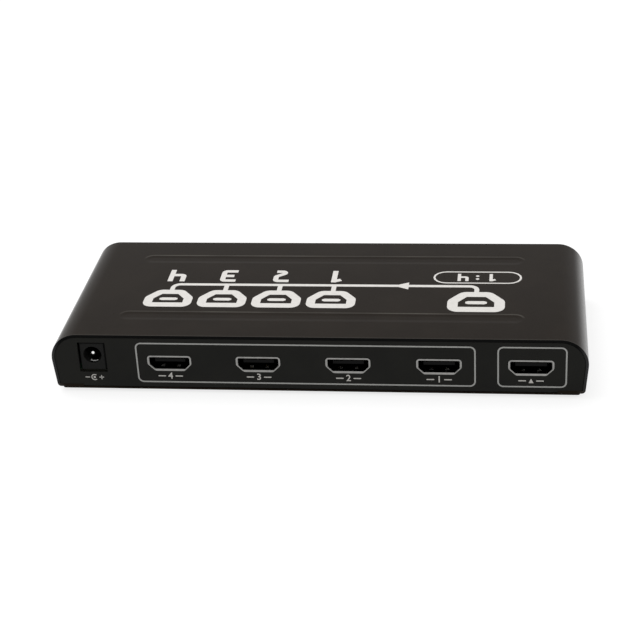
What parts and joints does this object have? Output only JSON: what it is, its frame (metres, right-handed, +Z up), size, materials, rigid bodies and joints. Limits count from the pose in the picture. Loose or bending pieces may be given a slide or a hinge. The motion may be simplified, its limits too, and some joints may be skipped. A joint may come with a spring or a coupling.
{
  "type": "hdmi splitter",
  "caption": "Flat black metal-cased video splitter with rounded sides, a row of video sockets and a DC power jack along one long side, and indicator lamps on the other.",
  "frame": {"origin": "under the middle of the case, on the surface that the four feet stand on", "axes": "+X along the case from the jack's side to the input's side, +Y from the sockets to the lamps, +Z up"},
  "size_m": [0.1848, 0.0742, 0.0225],
  "materials": {
    "case_paint": "satin black powder coat, slightly warm",
    "panel_paint": "satin black paint",
    "white_print": "screen-printed white ink",
    "grey_print": "screen-printed light grey ink",
    "nickel_plate": "nickel-plated steel",
    "black_moulding": "black moulded plastic",
    "gold_plate": "gold-plated contacts",
    "tinned_metal": "tinned leads and tabs",
    "screw_steel": "blackened steel",
    "zinc_steel": "zinc-plated steel",
    "foot_rubber": "matt black rubber",
    "board_laminate": "green solder mask",
    "chip_moulding": "black epoxy",
    "sink_aluminium": "extruded aluminium",
    "thermal_silicone": "grey silicone pad",
    "can_aluminium": "drawn aluminium can",
    "ferrite": "dark ferrite",
    "ceramic": "tan ceramic with tinned ends",
    "resistor_ceramic": "black film on white ceramic",
    "fuse_moulding": "green polymer",
    "lamp_resin": "milky clear resin"
  },
  "bodies": {
    "root": {"top_cover": "case_paint", "port_panel": "panel_paint", "indicator_panel": "panel_paint", "base_plate": "case_paint", "case_screws": "screw_steel", "rubber_feet": "foot_rubber", "circuit_board": "board_laminate", "board_standoffs": "zinc_steel", "board_screws": "zinc_steel", "dc_jack_body": "black_moulding", "dc_jack_pin": "nickel_plate", "dc_jack_spring": "nickel_plate", "splitter_chip": "chip_moulding", "splitter_chip_leads": "tinned_metal", "thermal_pad": "thermal_silicone", "heat_sink": "sink_aluminium", "driver_chips": "chip_moulding", "surge_protectors": "chip_moulding", "chip_resistors": "resistor_ceramic", "chip_capacitors": "ceramic", "voltage_regulators": "chip_moulding", "regulator_tabs": "tinned_metal", "power_inductor": "ferrite", "capacitor_bases": "black_moulding", "capacitor_cans": "can_aluminium", "input_diode": "chip_moulding", "input_fuse": "fuse_moulding", "timing_crystal": "nickel_plate", "memory_chips": "chip_moulding", "memory_chip_leads": "tinned_metal", "indicator_lamps": "lamp_resin", "indicator_lamp_legs": "tinned_metal", "video_output_4_shell": "nickel_plate", "video_output_4_insulator": "black_moulding", "video_output_4_contacts": "gold_plate", "video_output_3_shell": "nickel_plate", "video_output_3_insulator": "black_moulding", "video_output_3_contacts": "gold_plate", "video_output_2_shell": "nickel_plate", "video_output_2_insulator": "black_moulding", "video_output_2_contacts": "gold_plate", "video_output_1_shell": "nickel_plate", "video_output_1_insulator": "black_moulding", "video_output_1_contacts": "gold_plate", "video_input_shell": "nickel_plate", "video_input_insulator": "black_moulding", "video_input_contacts": "gold_plate"}
  },
  "joints": []
}
